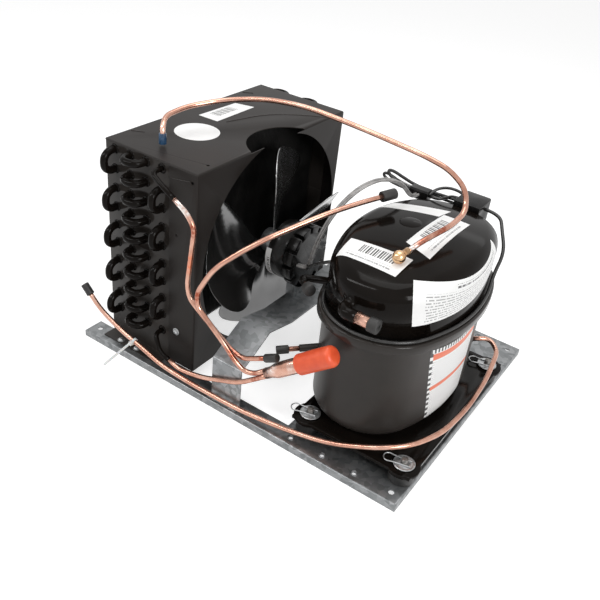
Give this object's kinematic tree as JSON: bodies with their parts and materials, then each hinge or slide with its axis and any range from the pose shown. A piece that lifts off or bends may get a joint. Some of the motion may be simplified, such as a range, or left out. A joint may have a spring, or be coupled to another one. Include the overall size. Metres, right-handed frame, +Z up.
{
  "type": "refrigeration condensing unit",
  "caption": "Air-cooled condensing unit: finned coil with shroud and axial fan, hermetic compressor, filter drier and bent copper lines on a folded steel base.",
  "frame": {"origin": "middle of the base plate, on its top face, at the centre of the four mounting holes", "axes": "+X along the base from the coil to the compressor, +Y from the line side to the far side, +Z up"},
  "size_m": [0.4983, 0.4348, 0.3423],
  "materials": {
    "galvanised_steel": "galvanised sheet",
    "black_gloss_paint": "gloss black paint",
    "charcoal_paint": "satin charcoal paint",
    "copper": "drawn copper",
    "brass": "polished",
    "polished_aluminium": "bright rolled sheet",
    "zinc_steel": "zinc plated",
    "black_rubber": "matt",
    "red_plastic": "soft vinyl",
    "blue_plastic": "soft vinyl",
    "black_plastic": "moulded",
    "white_nylon": "moulded nylon",
    "grey_lead": "wire sheath"
  },
  "bodies": {
    "unit": {"access_cap": "black_rubber", "access_tube": "copper", "ball_fitting": "brass", "base_plate": "galvanised_steel", "bracket_screws": "zinc_steel", "coil_foot_screws": "zinc_steel", "coil_plate_far": "black_gloss_paint", "coil_plate_near": "black_gloss_paint", "compressor_foot": "black_gloss_paint", "compressor_lower_shell": "black_gloss_paint", "compressor_upper_shell": "black_gloss_paint", "connector_block": "black_plastic", "drier_cap": "red_plastic", "far_return_bends": "black_gloss_paint", "filter_drier": "copper", "fin_pack": "black_gloss_paint", "foot_grommets": "black_rubber", "foot_studs": "zinc_steel", "harness_lead": "grey_lead", "inlet_cap": "black_rubber", "inlet_line": "copper", "inlet_stub": "black_gloss_paint", "lead_tie": "black_plastic", "line_tie": "white_nylon", "liquid_cap": "black_rubber", "liquid_line": "copper", "motor_body": "black_plastic", "motor_bracket": "galvanised_steel", "motor_cradle": "galvanised_steel", "motor_lead": "grey_lead", "motor_rear_bell": "black_plastic", "near_return_bends": "black_gloss_paint", "outlet_line": "copper", "outlet_stub": "black_gloss_paint", "process_cap": "black_rubber", "process_stub": "copper", "rim_lead": "grey_lead", "shroud": "charcoal_paint", "shroud_screws": "zinc_steel", "spare_cap": "black_rubber", "spare_stub": "copper", "stud_clips": "zinc_steel", "stud_washers": "zinc_steel", "suction_cap": "black_rubber", "suction_stub": "copper", "tap_cap": "blue_plastic", "tap_line": "copper", "terminal_cover": "black_plastic"},
    "fan": {"fan_shaft": "zinc_steel", "fan_hub": "zinc_steel", "fan_blades": "polished_aluminium"}
  },
  "joints": [
    {"name": "fan_spin", "type": "hinge", "parent": "unit", "child": "fan", "pos_m": [-0.073, -0.003, 0.131], "axis": [1, 0, 0], "continuous": true}
  ]
}
